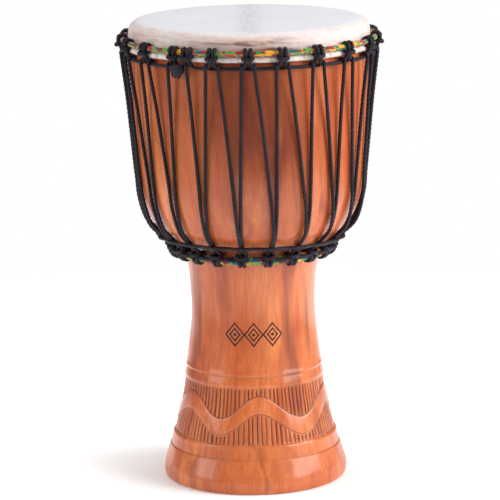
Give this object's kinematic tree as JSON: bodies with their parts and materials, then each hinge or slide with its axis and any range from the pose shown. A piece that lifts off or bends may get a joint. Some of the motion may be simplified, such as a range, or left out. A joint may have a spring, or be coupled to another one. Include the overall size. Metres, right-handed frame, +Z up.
{
  "type": "djembe",
  "caption": "Goblet-shaped wooden hand drum with a goatskin head held by cloth-wrapped steel rings and black cord lacing, carved band round a flared foot.",
  "frame": {"origin": "centre of the foot, on the plane that the drum stands on", "axes": "+Z up along the drum's axis to the playing surface; -Y is the front, where the ornament is burnt into the stem"},
  "size_m": [0.3385, 0.3379, 0.6],
  "materials": {
    "carved_wood": "oiled satin hardwood with upright grain",
    "goatskin": "shaved, stretched raw goatskin, matt",
    "ring_steel": "plain round bar",
    "printed_cloth": "wax-print cotton in crimson, yellow, green and dark teal",
    "black_rope": "braided low-stretch cord"
  },
  "bodies": {
    "root": {"shell": "carved_wood", "drumhead": "goatskin", "flesh_ring": "ring_steel", "crown_ring": "ring_steel", "crown_ring_wrap": "printed_cloth", "bottom_ring": "ring_steel", "bottom_ring_wrap": "printed_cloth", "crown_cradle_rope": "black_rope", "bottom_cradle_rope": "black_rope", "lacing_rope": "black_rope", "weave_rope": "black_rope", "tie_off_knot": "black_rope"}
  },
  "joints": []
}
